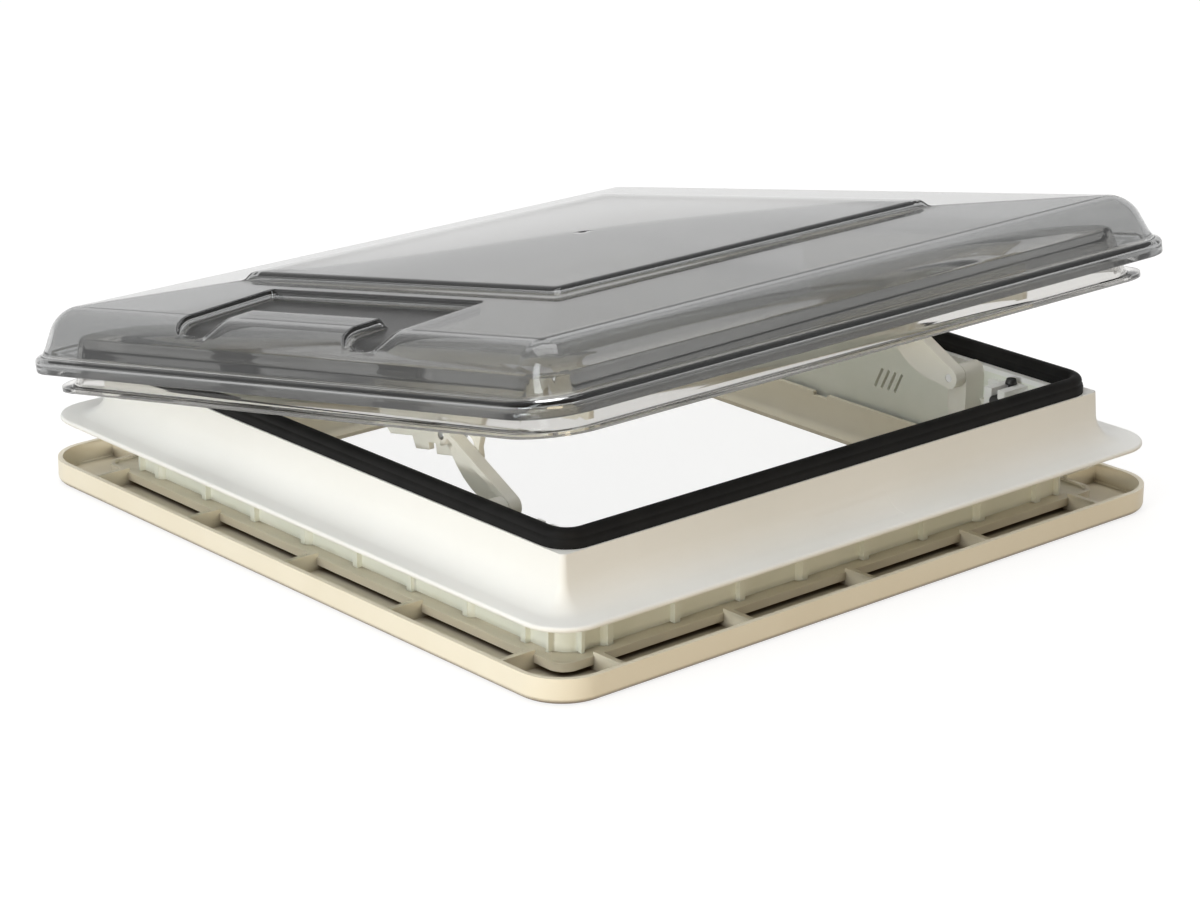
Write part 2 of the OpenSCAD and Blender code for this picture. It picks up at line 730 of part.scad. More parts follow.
// Lower shell of the lid, a shallow tray with an outward lip
module inner_pan() {
    d = pan_wall_u - pan_c;
    top = pan_depth;
    color(pale_smoke) opened() difference() {
        union() {
            translate([0, 0, pan_z]) ring_sweep(pan_c) polygon([[0, top], [d - pan_lean - pan_edge_r, top],
                [d - pan_lean, top - pan_edge_r], [d, pan_lip_t + pan_foot], [d + pan_foot, pan_lip_t],
                [d + pan_lip_w, pan_lip_t], [d + pan_lip_w, 0], [d - 0.6, 0],
                [d - pan_t, pan_lip_t + pan_foot], [d - pan_lean - pan_t + 0.6, top - pan_t],
                [0, top - pan_t]]);
            translate([-pan_c, -pan_c, pan_under_z]) cube([2*pan_c, 2*pan_c, pan_t]);
        }
        for (side = [-1, 1]) {
            translate([side*hinge_x - hinge_w/2 - notch_gap, pan_wall_u + 0.4, pan_z - 1])
                cube([hinge_w + 2*notch_gap, pan_lip_w + 2, pan_lip_t + pan_foot + 1]);
            for (place = [-1, 1])
                translate([side*hinge_x + place*(hinge_w/2 + leaf_side/2), hinge_y, leaf_screw_z])
                    rotate([90, 0, 0]) cylinder(r = screw_r + fixed_fit, h = hinge_y - pan_wall_u + 4*pan_t);
            for (y = guide_screw_places)
                translate([side*(guide_in - guide_foot_w/2), y, pan_under_z - 1])
                    cylinder(r = screw_r + fixed_fit, h = pan_t);
        }
    }
}

// Clear strip that bonds the pan into the dome rim
module spacer_strip() {
    inner = pan_face(spacer_z) - pan_c + bond_t;
    inner_top = pan_face(spacer_z + spacer_t) - pan_c + bond_t;
    outer = rim_u - dome_t - bond_t - pan_c;
    color(pale_smoke) opened() translate([0, 0, spacer_z]) ring_sweep(pan_c)
        polygon([[inner, 0], [outer, 0], [outer, spacer_t], [inner_top, spacer_t]]);
}

// Lid half of a hinge: plate on the pan wall and the middle knuckle
module hinge_leaf() {
    low = pan_z + pan_lip_t + pan_foot + leaf_gap;
    high = spacer_z - leaf_gap/2;
    neck_low = hinge_z - leaf_neck/2;
    neck_high = hinge_z + leaf_neck/2;
    plate_w = hinge_w + 2*leaf_side;
    color(ivory) opened() difference() {
        union() {
            side_plate(-plate_w/2, plate_w)
                polygon([[pan_face(low) + bond_t, low], [pan_face(low) + leaf_t, low],
                    [pan_face(high) + leaf_t, high], [pan_face(high) + bond_t, high]]);
            side_plate(-knuckle_w/2, knuckle_w) {
                translate([hinge_y, hinge_z]) circle(knuckle_r);
                polygon([[pan_face(neck_low) + leaf_root, neck_low], [hinge_y, neck_low],
                    [hinge_y, neck_high], [pan_face(neck_high) + leaf_root, neck_high]]);
            }
        }
        translate([-hinge_w, hinge_y, hinge_z]) rod(hinge_pin_r + run_fit, 2*hinge_w);
        for (place = [-1, 1])
            translate([place*(hinge_w/2 + leaf_side/2), hinge_y, leaf_screw_z])
                rotate([90, 0, 0]) cylinder(r = screw_r + fixed_fit, h = hinge_y - pan_wall_u + 4*pan_t);
    }
}

module left_hinge_leaf() { translate([-hinge_x, 0, 0]) hinge_leaf(); }
module right_hinge_leaf() { translate([hinge_x, 0, 0]) hinge_leaf(); }

// Screws that hold both leaves to the pan wall
module hinge_leaf_screws() {
    seat = pan_face(leaf_screw_z - screw_head_r) + leaf_t + bond_t;
    color(zinc) opened() for (side = [-1, 1], place = [-1, 1])
        translate([side*hinge_x + place*(hinge_w/2 + leaf_side/2), seat, leaf_screw_z])
            rotate([90, 0, 0]) screw(leaf_t + pan_t);
}

// Lid guides
guide_end_gap = 6;
bolt_wall = 6.5;
slot_floor = 3;
guide_front = -(spigot_in - guide_end_gap);
guide_rear = -10;
guide_shallow = bolt_z - bolt_r - bolt_wall;
guide_low = slot_low - slot_floor;
guide_foot_w = 7;
guide_foot_t = 3;
guide_screw_in = 14;
guide_ramp = 10;
slot_wall = 4;
lug_gap = 6;
lug_w = 12;
lug_step = 2;
lug_h = 7;
tail_w = 6;
guide_screw_places = [guide_front + guide_screw_in, (guide_front + guide_rear)/2,
    guide_rear - guide_screw_in];

// Outline of the cam slot: both sides of the stud path, joined by round ends
slot_path = [for (i = [0:slot_steps]) slot_place(slot_turn + (full_angle - slot_turn)*sqrt(i/slot_steps))];
function slot_heading(i) =
    let (d = slot_path[min(i + 1, slot_steps)] - slot_path[max(i - 1, 0)]) atan2(d[1], d[0]);
function slot_point(i, a) = slot_path[i] + slot_half*[cos(slot_heading(i) + a), sin(slot_heading(i) + a)];
function slot_outline() = concat([for (i = [0:slot_steps]) slot_point(i, 90)],
    [for (k = [1:arc_steps - 1]) slot_point(slot_steps, 90 - 180*k/arc_steps)],
    [for (i = [slot_steps:-1:0]) slot_point(i, -90)],
    [for (k = [1:arc_steps - 1]) slot_point(0, -90 - 180*k/arc_steps)]);

// Plate that hangs from the pan and takes the arm stud in a curved slot
module lid_guide() {
    front = slot_end[0] - slot_half - slot_wall;
    rear = slot_start[0] + slot_half + slot_wall;
    lug_front = rear + lug_gap;
    lug_rear = lug_front + lug_w;
    lug_low = guide_low + lug_step;
    tail_low = guide_low + lug_step + lug_h;
    color(ivory) opened() difference() {
        union() {
            side_plate(guide_in, guide_t) polygon([[guide_front, pan_under_z], [guide_front, guide_shallow],
                [front - guide_ramp, guide_shallow], [front, guide_low + lug_gap], [front, guide_low],
                [rear, guide_low], [rear, guide_low + lug_gap], [lug_front, guide_low + lug_gap],
                [lug_front, lug_low], [lug_rear, lug_low], [lug_rear + lug_step, tail_low],
                [guide_rear - tail_w, tail_low], [guide_rear, tail_low + lug_h], [guide_rear, pan_under_z]]);
            translate([guide_in - guide_foot_w, guide_front, pan_under_z - guide_foot_t])
                cube([guide_foot_w + 1, guide_rear - guide_front, guide_foot_t]);
        }
        side_plate(guide_in - 1, guide_t + 2) {
            polygon(slot_outline());
            translate([bolt_y, bolt_z]) circle(bolt_r + 2*side_gap);
        }
        for (y = guide_screw_places)
            translate([guide_in - guide_foot_w/2, y, pan_under_z - guide_foot_t - 1])
                cylinder(r = screw_r + fixed_fit, h = guide_foot_t + 2);
    }
}

module near_lid_guide() { mirror([1, 0, 0]) lid_guide(); }
module far_lid_guide() { lid_guide(); }

// Screws that hold both guides to the pan
module guide_screws() {
    color(zinc) opened() for (side = [-1, 1], y = guide_screw_places)
        translate([side*(guide_in - guide_foot_w/2), y, pan_under_z - guide_foot_t])
            screw(guide_foot_t + pan_t - 1.2);
}

// Lower edge of an arm, level along its length
function arm_edge() = [for (i = [0:arc_steps]) let (s = i/arc_steps)
    [arm_len*s, -arm_boss_r*0.96 + 1.6*s - arm_belly*sin(180*s)]];

// Side arm: thin web, thick upper rim and two bosses
module arm() {
    rim_w = 3.5;
    web = 3;
    end_r = arm_boss_r - 1;
    color(ivory) arm_place() difference() {
        union() {
            side_plate(arm_in, arm_t) {
                circle(arm_boss_r);
                translate([arm_len, 0]) circle(end_r);
                polygon([[0, arm_boss_r - rim_w], [0, arm_boss_r],
                    [arm_len, end_r], [arm_len, end_r - rim_w]]);
            }
            side_plate(arm_in, web)
                polygon(concat([[0, arm_boss_r - 1], [0, 0]], arm_edge(), [[arm_len, end_r - 1]]));
        }
        translate([arm_in - 1, 0, 0]) rod(pivot_pin_r + run_fit, arm_t + 2);
        translate([arm_in - 1, arm_len, 0]) rod(pivot_pin_r + fixed_fit, arm_t + 2);
    }
}

module near_arm() { mirror([1, 0, 0]) arm(); }
module far_arm() { arm(); }

// Headed stud in the end of an arm, running in the guide slot
module slide_stud() {
    head_t = 2;
    head_in = guide_in - side_gap - head_t;
    color(zinc) arm_place() translate([0, arm_len, 0]) {
        translate([arm_in - 0.1, 0, 0]) rod(pivot_pin_r, arm_t);
        translate([head_in, 0, 0]) rod(stud_r, arm_in - 0.03 - head_in);
        translate([head_in, 0, 0]) rod(stud_r + 2.4, head_t);
    }
}

module near_slide_stud() { mirror([1, 0, 0]) slide_stud(); }
module far_slide_stud() { slide_stud(); }

outer_frame();
roof_spigot();
collar_seal();
trim_ring();
trim_screws();
near_arm_bracket();
far_arm_bracket();
bracket_screws();
near_pivot_pin();
far_pivot_pin();
near_lock_housing();
far_lock_housing();
lock_screws();
near_lock_bolt();
far_lock_bolt();
left_hinge_bracket();
right_hinge_bracket();
hinge_bracket_screws();
left_hinge_pin();
right_hinge_pin();
outer_dome();
inner_pan();
spacer_strip();
left_hinge_leaf();
right_hinge_leaf();
hinge_leaf_screws();
near_lid_guide();
far_lid_guide();
guide_screws();
near_arm();
far_arm();
near_slide_stud();
far_slide_stud();
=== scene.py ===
# Square pop-up roof vent, standing on a table with its smoked lid raised.
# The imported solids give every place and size. Lengths are in metres.
import json
import math

import bmesh
import bpy
import numpy as np
from mathutils import Matrix, Vector

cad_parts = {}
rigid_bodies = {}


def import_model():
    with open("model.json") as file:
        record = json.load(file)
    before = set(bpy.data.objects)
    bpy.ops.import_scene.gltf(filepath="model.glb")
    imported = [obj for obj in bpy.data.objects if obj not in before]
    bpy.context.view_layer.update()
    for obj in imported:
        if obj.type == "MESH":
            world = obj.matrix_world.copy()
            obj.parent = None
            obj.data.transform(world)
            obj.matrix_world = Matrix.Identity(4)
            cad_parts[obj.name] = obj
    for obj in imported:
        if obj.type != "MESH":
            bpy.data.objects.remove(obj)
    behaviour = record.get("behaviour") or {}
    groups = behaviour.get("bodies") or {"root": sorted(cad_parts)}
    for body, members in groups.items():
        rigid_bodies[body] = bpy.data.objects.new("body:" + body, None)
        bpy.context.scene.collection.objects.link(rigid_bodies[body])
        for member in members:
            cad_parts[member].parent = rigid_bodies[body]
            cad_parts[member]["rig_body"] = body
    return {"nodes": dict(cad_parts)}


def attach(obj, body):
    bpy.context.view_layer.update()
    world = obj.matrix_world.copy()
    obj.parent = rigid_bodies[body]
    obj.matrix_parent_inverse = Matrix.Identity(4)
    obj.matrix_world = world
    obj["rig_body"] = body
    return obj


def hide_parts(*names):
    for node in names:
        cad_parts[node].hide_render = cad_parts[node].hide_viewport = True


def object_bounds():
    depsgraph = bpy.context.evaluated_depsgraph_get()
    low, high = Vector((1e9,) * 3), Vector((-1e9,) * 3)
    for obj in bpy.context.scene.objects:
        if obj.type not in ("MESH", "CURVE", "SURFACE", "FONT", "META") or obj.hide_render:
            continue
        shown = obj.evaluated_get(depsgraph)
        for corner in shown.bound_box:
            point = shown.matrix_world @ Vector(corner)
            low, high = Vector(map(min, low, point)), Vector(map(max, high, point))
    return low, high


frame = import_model()
nodes = frame["nodes"]
cad_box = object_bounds()


# Ceiling trim
# A cream injection moulding that clamps against the ceiling: a lip, a floor with a ledge, a collar,
# and a ridged screw shelf on webs. Its satin skin is faintly mottled, with brown shade painted into its
# deep hollows.
def moulded(name, colour, shade, roughness, mottle=18, grain=1400, depth=0.06, gloss=0.5, hollow_shade=None):
    # A moulding mottled between two colours, with a fine skin, and with painted shade in its hollows if
    # one is given.
    mottle_low, mottle_high = 0.32, 0.68
    smoother, rougher = 0.06, 0.08
    hollow_reach = 0.014
    hollow_full, hollow_none = 0.12, 0.60
    skin_height = 0.0002
    material = bpy.data.materials.new(name)
    material.use_nodes = True
    tree = material.node_tree
    shader = tree.nodes["Principled BSDF"]
    shader.inputs["Specular IOR Level"].default_value = gloss
    place = tree.nodes.new("ShaderNodeTexCoord")
    flow = tree.nodes.new("ShaderNodeTexNoise")
    flow.inputs["Scale"].default_value = mottle
    flow.inputs["Detail"].default_value = 5
    tree.links.new(place.outputs["Object"], flow.inputs["Vector"])
    tint = tree.nodes.new("ShaderNodeValToRGB")
    tint.color_ramp.elements[0].position = mottle_low
    tint.color_ramp.elements[0].color = (*shade, 1)
    tint.color_ramp.elements[1].position = mottle_high
    tint.color_ramp.elements[1].color = (*colour, 1)
    tree.links.new(flow.outputs["Fac"], tint.inputs["Fac"])
    tree.links.new(tint.outputs["Color"], shader.inputs["Base Color"])
    # Painted shade: ambient occlusion turns the colour brown where the hollows would lie in shade.
    if hollow_shade:
        open_air = tree.nodes.new("ShaderNodeAmbientOcclusion")
        open_air.inputs["Distance"].default_value = hollow_reach
        shade_mix = tree.nodes.new("ShaderNodeMix")
        shade_mix.data_type = "RGBA"
        dark, unshaded_colour, mixed = shade_mix.inputs[6], shade_mix.inputs[7], shade_mix.outputs[2]
        dark.default_value = (*hollow_shade, 1)
        depth_in = tree.nodes.new("ShaderNodeMapRange")
        depth_in.inputs["From Min"].default_value = hollow_full
        depth_in.inputs["From Max"].default_value = hollow_none
        tree.links.new(open_air.outputs["AO"], depth_in.inputs["Value"])
        tree.links.new(depth_in.outputs["Result"], shade_mix.inputs["Factor"])
        tree.links.new(tint.outputs["Color"], unshaded_colour)
        tree.links.new(mixed, shader.inputs["Base Color"])
    skin = tree.nodes.new("ShaderNodeTexNoise")
    skin.inputs["Scale"].default_value = grain
    skin.inputs["Detail"].default_value = 3
    tree.links.new(place.outputs["Object"], skin.inputs["Vector"])
    rough = tree.nodes.new("ShaderNodeMapRange")
    rough.inputs["To Min"].default_value = roughness - smoother
    rough.inputs["To Max"].default_value = roughness + rougher
    tree.links.new(flow.outputs["Fac"], rough.inputs["Value"])
    tree.links.new(rough.outputs["Result"], shader.inputs["Roughness"])
    bump = tree.nodes.new("ShaderNodeBump")
    bump.inputs["Strength"].default_value = depth
    bump.inputs["Distance"].default_value = skin_height
    tree.links.new(skin.outputs["Fac"], bump.inputs["Height"])
    tree.links.new(bump.outputs["Normal"], shader.inputs["Normal"])
    return material


def settle(mesh, sharp=32):
    # Shades a welded mesh smooth, and keeps its real edges crisp.
    mesh.polygons.foreach_set("use_smooth", [True] * len(mesh.polygons))
    mesh.set_sharp_from_angle(angle=math.radians(sharp))
    mesh.update()


def welded(node):
    # A copy of a solid with its loose triangles joined.
    weld = 2e-6
    solid = bmesh.new()
    solid.from_mesh(nodes[node].data)
    bmesh.ops.remove_doubles(solid, verts=solid.verts, dist=weld)
    return solid


def dressed(node, name, material, ease=0.0, sharp=32):
    # A welded copy of a solid that stands for it, with its outside edges eased.
    level = math.radians(0.4)
    corner = math.radians(50)
    copy = welded(node)
    bmesh.ops.dissolve_limit(copy, angle_limit=level, verts=copy.verts, edges=copy.edges)
    if ease:
        rims = [e for e in copy.edges if len(e.link_faces) == 2 and e.is_convex
                and e.calc_face_angle(0) > corner and e.calc_length() > 2 * ease]
        bmesh.ops.bevel(copy, geom=rims, offset=ease, offset_type="OFFSET", segments=2, profile=0.5,
                        affect="EDGES", clamp_overlap=True)
    bmesh.ops.triangulate(copy, faces=[f for f in copy.faces if len(f.verts) > 4])
    mesh = bpy.data.meshes.new(name)
    copy.to_mesh(mesh)
    copy.free()
    settle(mesh, sharp)
    mesh.materials.clear()
    mesh.materials.append(material)
    piece = bpy.data.objects.new(name, mesh)
    bpy.context.scene.collection.objects.link(piece)
    flat = piece.modifiers.new("flat_faces", "WEIGHTED_NORMAL")
    flat.mode = "FACE_AREA"
    flat.weight = 100
    flat.keep_sharp = True
    shaded = piece.evaluated_get(bpy.context.evaluated_depsgraph_get())
    piece.data = bpy.data.meshes.new_from_object(shaded)
    piece.modifiers.clear()
    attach(piece, nodes[node]["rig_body"])
    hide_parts(node)


# The brown given last is painted shade for the deep hollows of the trim's channel.
cream = moulded("cream_moulding", (0.88, 0.83, 0.70), (0.84, 0.78, 0.64), 0.42,
                hollow_shade=(0.10, 0.052, 0.016))
dressed("trim_ring", "ceiling_trim", cream, ease=0.0006)


# Spigot
# The ribbed wall that passes through the roof, moulded in natural greenish-white plastic.
# Its ribs centre it in the cut-out, and its bosses take the trim screws.
natural = moulded("natural_moulding", (0.83, 0.85, 0.78), (0.77, 0.80, 0.72), 0.5, mottle=26)
dressed("roof_spigot", "ribbed_spigot", natural, ease=0.0004)


# Roof collar
# The white outer moulding: a flange bedded on the roof, swept up into the collar that the lid
# closes over. Its skin is even and nearly matt.
white = moulded("white_moulding", (0.875, 0.88, 0.87), (0.835, 0.84, 0.825), 0.55, mottle=9, gloss=0.35)
dressed("outer_frame", "roof_collar", white, sharp=28)


# Collar seal
# A two-lobed black rubber extrusion, pushed on to the top of the collar, with its ends joined
# at the rear. Its skin is matt and finely grained.
rubber = moulded("seal_rubber", (0.010, 0.010, 0.010), (0.005, 0.005, 0.005), 0.62, mottle=60,
                 grain=2400, depth=0.2, gloss=0.15)
dressed("collar_seal", "collar_gasket", rubber, sharp=40)


# Arm brackets and their pins
# Ivory moulded blocks, one screwed to each side wall inside the vent.
# A plated steel pin through each block is what an arm turns on.
ivory = moulded("ivory_moulding", (0.84, 0.83, 0.77), (0.79, 0.78, 0.71), 0.4, mottle=34)
for side in ("near", "far"):
    dressed(f"{side}_arm_bracket", f"{side}_wall_bracket", ivory, ease=0.0007)

steel = moulded("plated_steel", (0.62, 0.62, 0.60), (0.50, 0.50, 0.48), 0.3, mottle=220, grain=3000,
                depth=0.1)
steel.node_tree.nodes["Principled BSDF"].inputs["Metallic"].default_value = 1.0
for side in ("near", "far"):
    dressed(f"{side}_pivot_pin", f"{side}_arm_pin", steel, ease=0.0003)


# Lock bolts
# White housings on the side walls, each with a black bolt that slides into the lid guide and
# locks the closed lid. A small knob on top moves the bolt.
black = moulded("black_moulding", (0.030, 0.030, 0.030), (0.018, 0.018, 0.018), 0.4, mottle=80)
for side in ("near", "far"):
    dressed(f"{side}_lock_housing", f"{side}_bolt_housing", white, ease=0.0006)
    dressed(f"{side}_lock_bolt", f"{side}_slide_bolt", black, ease=0.0004)


# Hinges
# Two plastic hinges at the rear: cheeks screwed to the flange, a leaf screwed to the pan, and
# a plated pin through both.
for side in ("left", "right"):
    dressed(f"{side}_hinge_bracket", f"{side}_hinge_cheeks", white, ease=0.0005)
    dressed(f"{side}_hinge_leaf", f"{side}_hinge_tongue", ivory, ease=0.0004)
    dressed(f"{side}_hinge_pin", f"{side}_hinge_rod", steel, ease=0.0003)


# Lid pan
# The lower shell of the lid, vacuum formed from smoked acrylic sheet, with an outward lip.
# It shuts down over the seal. Light passes the sheet tinted, and bends at every edge.
def smoked(name, tone, roughness, grain=0.0):
    # Clear sheet of one tone with a slow haze in it, and a pebbled face if a grain is given.
    acrylic_ior = 1.49
    haze_low, haze_high = 0.3, 0.7
    haze_tone = 0.94
    smoother, rougher = 0.7, 1.6
    pebble_height = 0.0006
    material = bpy.data.materials.new(name)
    material.use_nodes = True
    tree = material.node_tree
    shader = tree.nodes["Principled BSDF"]
    shader.inputs["Transmission Weight"].default_value = 1.0
    shader.inputs["IOR"].default_value = acrylic_ior
    place = tree.nodes.new("ShaderNodeTexCoord")
    haze = tree.nodes.new("ShaderNodeTexNoise")
    haze.inputs["Scale"].default_value = 7
    haze.inputs["Detail"].default_value = 4
    tree.links.new(place.outputs["Object"], haze.inputs["Vector"])
    tint = tree.nodes.new("ShaderNodeValToRGB")
    tint.color_ramp.elements[0].position = haze_low
    tint.color_ramp.elements[0].color = (*[haze_tone * c for c in tone], 1)
    tint.color_ramp.elements[1].position = haze_high
    tint.color_ramp.elements[1].color = (*tone, 1)
    tree.links.new(haze.outputs["Fac"], tint.inputs["Fac"])
    tree.links.new(tint.outputs["Color"], shader.inputs["Base Color"])
    rough = tree.nodes.new("ShaderNodeMapRange")
    rough.inputs["To Min"].default_value = roughness * smoother
    rough.inputs["To Max"].default_value = roughness * rougher
    tree.links.new(haze.outputs["Fac"], rough.inputs["Value"])
    tree.links.new(rough.outputs["Result"], shader.inputs["Roughness"])
    if grain:
        pebble = tree.nodes.new("ShaderNodeTexNoise")
        pebble.inputs["Scale"].default_value = 420
        tree.links.new(place.outputs["Object"], pebble.inputs["Vector"])
        bump = tree.nodes.new("ShaderNodeBump")
        bump.inputs["Strength"].default_value = grain
        bump.inputs["Distance"].default_value = pebble_height
        tree.links.new(pebble.outputs["Fac"], bump.inputs["Height"])
        tree.links.new(bump.outputs["Normal"], shader.inputs["Normal"])
    shadow = tree.nodes.new("ShaderNodeBsdfTransparent")
    shadow.inputs["Color"].default_value = (*[math.sqrt(c) for c in tone], 1)
    rays = tree.nodes.new("ShaderNodeLightPath")
    cast = tree.nodes.new("ShaderNodeMixShader")
    tree.links.new(rays.outputs["Is Shadow Ray"], cast.inputs["Fac"])
    tree.links.new(shader.outputs["BSDF"], cast.inputs[1])
    tree.links.new(shadow.outputs["BSDF"], cast.inputs[2])
    tree.links.new(cast.outputs["Shader"], tree.nodes["Material Output"].inputs["Surface"])
    return material


pan_smoke = smoked("pan_acrylic", (0.73, 0.72, 0.70), 0.05)
dressed("inner_pan", "lid_pan", pan_smoke, sharp=40)
dressed("spacer_strip", "lid_spacer", pan_smoke, sharp=40)


# Lid dome
# The outer shell of the lid, formed from darker smoked acrylic and bonded to the pan by the spacer:
# a stepped rim, round shoulders, a raised panel, and a hand recess pressed into one shoulder round a
# tongue. The floor of the recess is grained, and its near-black tone is painted shade.
open_angle = math.radians(10.8)
hinge_line = Vector((0, 0.232, 0.0228))
rim_height = 0.0278
raised = (Matrix.Translation(hinge_line) @ Matrix.Rotation(-open_angle, 4, "X")
          @ Matrix.Translation(-hinge_line) @ Matrix.Translation((0, 0, rim_height)))
dome_wall = 0.0028
shoulder_centre = (0.2121, 0.0148)
shoulder_radius = 0.021
side_lean = math.radians(24)
rim_half = 0.2425
rim_top = 0.0094
rim_bend = 0.0034
rim_ease = 0.001
wall_rise = 0.002
top_height = 0.0358
top_rise = 0.0047
panel_foot, panel_flat = 0.142, 0.1362
panel_rise = 0.0045
panel_crown = 0.002
panel_corner = 0.0035
# Half widths and rises of the step up to the panel, and of the dimple in the panel's middle.
panel_step = ((0.1432, 0.0002), (0.1422, 0.0008), (0.1404, 0.0030), (0.1394, 0.0039), (0.1380, 0.0044))
dimple = ((0.0026, 0.0045), (0.0020, 0.0041), (0.0012, 0.0037))
# The band of the recess lies between two distances from the middle. Its legs reach down the skin to
# leg_foot from the panel, one between each pair of edges.
recess_back, tongue_back, leg_foot = 0.157, 0.199, 0.0925
recess_edges = (-0.1015, -0.0615, 0.0535, 0.0935)
recess_corner, leg_corner, leg_start = 0.004, 0.015, 0.01
recess_deep, recess_ramp = 0.006, 0.003
side_reach = 0.2086
plain_side = np.linspace(side_reach, -side_reach, 41)
by_an_edge = np.linspace(-0.0055, 0.0055, 17)
recess_side = [np.linspace(side_reach, -side_reach, 49), *[edge + by_an_edge for edge in recess_edges]]
recess_side = np.sort(np.concatenate(recess_side))[::-1]


def dome_profile(inset):
    # Half section from the rim edge up to the middle, as (half width, height, corner radius).
    cu, cz = shoulder_centre
    r = shoulder_radius - inset
    knee = (cu + r * math.cos(side_lean), cz + r * math.sin(side_lean))
    foot_z = rim_top + wall_rise - inset * math.tan(math.pi / 8 - side_lean / 4)
    foot = (knee[0] + (knee[1] - foot_z) * math.tan(side_lean), foot_z)
    rim = rim_half - inset
    ease = -rim_ease if inset else rim_ease
    points = [(rim - ease, 0.0), (rim - 0.3 * ease, 0.0003), (rim, 0.001)]
    points += [(rim, rim_top - rim_bend - inset)]
    points += [(rim - rim_bend * (1 - math.cos(a)), rim_top - rim_bend * (1 - math.sin(a)) - inset)
               for a in np.linspace(0.25, math.pi / 2, 6)]
    points += [(foot[0] + 0.0020, foot_z - 0.0014), (foot[0] + 0.0008, foot_z - 0.0008),
               (foot[0] - 0.0002, foot_z + 0.0010)]
    points += [(foot[0] + (knee[0] - foot[0]) * f, foot[1] + (knee[1] - foot[1]) * f)
               for f in (0.25, 0.5, 0.75)]
    points += [(cu + r * math.cos(a), cz + r * math.sin(a))
               for a in np.linspace(side_lean, math.pi / 2, 26)]
    top = top_height - inset
    slope = np.concatenate([np.linspace(cu - 0.003, panel_foot + 0.0025, 14),
                            recess_back + np.linspace(-0.001, 0.0056, 10),
                            tongue_back + np.linspace(-0.0056, 0.001, 10)])
    points += [(u, top + (cu - u) / (cu - panel_foot) * top_rise) for u in sorted(slope, reverse=True)]
    step = top + top_rise
    points += [(u, step + rise) for u, rise in panel_step]
    points += [(u, step + panel_rise) for u in np.linspace(panel_flat, 0.006, 15)]
    points += [(u, step + rise) for u, rise in dimple]
    round_within = 0.05
    corners = []
    for u, z in points:
        corner = max(u - cu, panel_corner)
        if u < panel_foot:
            corner = panel_corner + (u - panel_corner) * max(0.0, 1 - u / round_within)
        corners.append((u, z, min(corner, u)))
    return corners


def side_places(c, places):
    # Spreads the places along one side of a ring; those by the recess stay put on the wide rings.
    steady, widest = 0.11, places[0]
    ring = max(c, panel_flat - panel_corner)
    spread = steady + (np.abs(places) - steady) * (ring - steady) / (widest - steady)
    spread = np.where(np.abs(places) > steady, np.sign(places) * spread, places)
    return spread * c / ring


def square_ring(half, radius, z, around=10):
    # Points round a square with round corners, closest together along the -X side.
    c = half - radius
    ring = []
    for turn in range(4):
        places = side_places(c, recess_side if turn == 1 else plain_side)
        quarter = [(c + radius * math.cos(a), c + radius * math.sin(a))
                   for a in np.linspace(0, math.pi / 2, around + 1)]
        quarter += [(place, half) for place in places[1:-1]]
        cs, sn = round(math.cos(turn * math.pi / 2)), round(math.sin(turn * math.pi / 2))
        ring += [(x * cs - y * sn, x * sn + y * cs, z) for x, y in quarter]
    return np.array(ring)


def recess_depth(s, y):
    # Depth of the hand recess at s from the panel and y along the side: a band behind two legs.
    def inside(s0, s1, y0, y1, r):
        qs = np.abs(s - (s0 + s1) / 2) - (s1 - s0) / 2 + r
        qy = np.abs(y - (y0 + y1) / 2) - (y1 - y0) / 2 + r
        return r - np.hypot(np.maximum(qs, 0), np.maximum(qy, 0)) - np.minimum(np.maximum(qs, qy), 0)

    back, tongue = recess_back - panel_foot, tongue_back - panel_foot
    y0, y1, y2, y3 = recess_edges
    depth = inside(back, tongue, y0, y3, recess_corner)
    for left, right in ((y0, y1), (y2, y3)):
        depth = np.maximum(depth, inside(back + leg_start, leg_foot, left, right, leg_corner))
    t = np.clip(depth / recess_ramp, 0, 1)
    return recess_deep * t * t * (3 - 2 * t)


def dome_skin(inset):
    # One face of the shell as rings from rim to middle, and how far each point is pressed in.
    profile = dome_profile(inset)
    line = np.array([(u, z) for u, z, r in profile])
    tangent = np.gradient(line, axis=0)
    tangent /= np.linalg.norm(tangent, axis=1)[:, None]
    outside = np.array([(u, z) for u, z, r in dome_profile(0)])
    steps = np.r_[0, np.cumsum(np.linalg.norm(np.diff(outside, axis=0), axis=1))]
    from_panel = np.interp(panel_foot, outside[::-1, 0], steps[::-1])
    rings, depths = [], []
    for i, (u, z, r) in enumerate(profile):
        ring = square_ring(u, r, z)
        on_recess_side = ring[:, 0] < -panel_foot
        deep = np.where(on_recess_side, recess_depth(from_panel - steps[i], ring[:, 1]), 0)
        ring[:, 0] += tangent[i][1] * deep
        ring[:, 2] += tangent[i][0] * deep
        if u <= panel_flat:
            ring[:, 2] += panel_crown * np.prod(1 - (ring[:, :2] / panel_flat) ** 2, axis=1)
        rings.append(ring)
        depths.append(deep)
    return rings, depths


